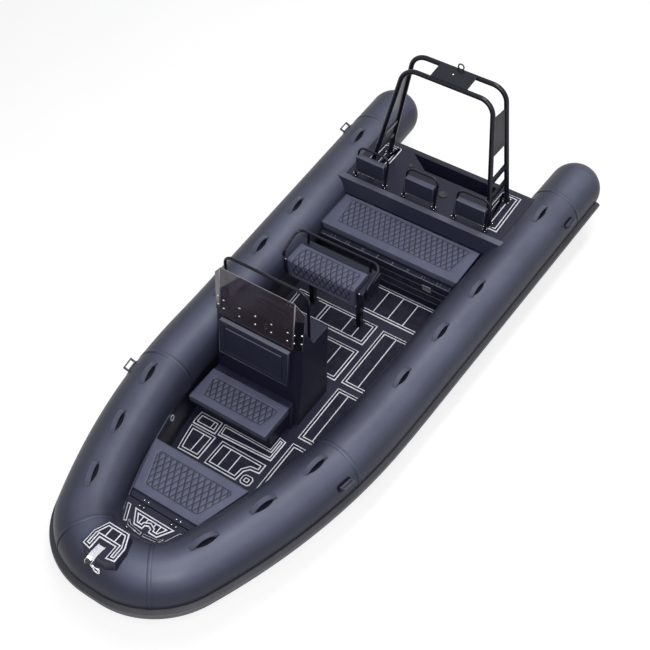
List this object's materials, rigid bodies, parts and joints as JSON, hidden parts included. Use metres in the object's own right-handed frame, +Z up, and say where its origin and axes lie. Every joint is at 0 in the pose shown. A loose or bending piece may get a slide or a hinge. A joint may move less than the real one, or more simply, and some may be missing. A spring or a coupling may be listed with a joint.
{
  "type": "inflatable rib boat",
  "caption": "Open rigid inflatable boat with deep V hull, air tubes, offset console with smoked screen, helm seat, cushioned lockers, stern bench and roll bar arch.",
  "frame": {"origin": "on the waterline at rest, on the centreline, near amidships", "axes": "+X to the bow, +Y to port, +Z up"},
  "size_m": [6.6799, 2.8356, 2.409],
  "materials": {
    "coated_tube": "satin black powder coat",
    "deck_mat": "brushed closed-cell foam, black with pale grooves",
    "gelcoat": "satin moulded gelcoat, near black",
    "handle_rubber": "matt moulded rubber",
    "roller_rubber": "smooth black rubber",
    "smoked_glass": "smoked acrylic sheet",
    "stainless": "polished stainless steel",
    "strake_rubber": "matt ribbed black rubber",
    "tube_fabric": "matt coated fabric, bluish charcoal",
    "upholstery": "stitched marine vinyl, slate blue grey",
    "wheel_plastic": "grained black polyurethane"
  },
  "bodies": {
    "boat": {"aft_coaming": "gelcoat", "aft_deck": "gelcoat", "arch_aft_hoop": "coated_tube", "arch_eye": "coated_tube", "arch_front_hoop": "coated_tube", "arch_side_plates": "coated_tube", "arch_steps": "coated_tube", "arch_top_plate": "coated_tube", "backrest_hoops": "coated_tube", "backrest_pads": "upholstery", "bench_base": "gelcoat", "bench_hinges": "stainless", "bow_deck": "gelcoat", "bow_eye": "stainless", "bow_hinges": "stainless", "bow_locker": "gelcoat", "bow_step": "gelcoat", "cockpit_floor": "gelcoat", "console": "gelcoat", "console_backrest": "upholstery", "deck_mats": "deck_mat", "front_seat_base": "gelcoat", "front_seat_hinges": "stainless", "grab_handles": "handle_rubber", "helm_cushion": "upholstery", "helm_rail": "coated_tube", "helm_seat_base": "gelcoat", "helm_seat_posts": "coated_tube", "hull": "gelcoat", "nose_tube": "tube_fabric", "port_bow_tube": "tube_fabric", "port_side_tube": "tube_fabric", "roller_channel": "stainless", "rub_strake": "strake_rubber", "screen_rail": "coated_tube", "side_loops": "handle_rubber", "starboard_bow_tube": "tube_fabric", "starboard_side_tube": "tube_fabric", "transom": "gelcoat", "windscreen": "smoked_glass"},
    "bow_lid": {"bow_locker_lid": "gelcoat", "bow_cushion": "upholstery"},
    "bench_lid_body": {"bench_lid": "gelcoat", "bench_cushion": "upholstery"},
    "front_seat_lid_body": {"front_seat_lid": "gelcoat", "front_seat_cushion": "upholstery"},
    "wheel": {"steering_wheel": "wheel_plastic"},
    "roller": {"anchor_roller": "roller_rubber"}
  },
  "joints": [
    {"name": "bow_locker_lid_hinge", "type": "hinge", "parent": "boat", "child": "bow_lid", "pos_m": [2.49, 0, 0.6053], "axis": [0, 1, 0], "range_deg": [0, 85]},
    {"name": "bench_lid_hinge", "type": "hinge", "parent": "boat", "child": "bench_lid_body", "pos_m": [-1.5667, 0, 0.6], "axis": [0, -1, 0], "range_deg": [0, 85]},
    {"name": "front_seat_lid_hinge", "type": "hinge", "parent": "boat", "child": "front_seat_lid_body", "pos_m": [0.917, -0.21678, 0.4313], "axis": [0, -1, 0], "range_deg": [0, 85]},
    {"name": "steering_wheel_turn", "type": "hinge", "parent": "boat", "child": "wheel", "pos_m": [0.53317, -0.22377, 1.18612], "axis": [-0.8944, 0, 0.4472], "range_deg": [-540, 540]},
    {"name": "anchor_roller_turn", "type": "hinge", "parent": "boat", "child": "roller", "pos_m": [3.28486, 0, 0.98548], "axis": [0, 1, 0], "continuous": true}
  ]
}
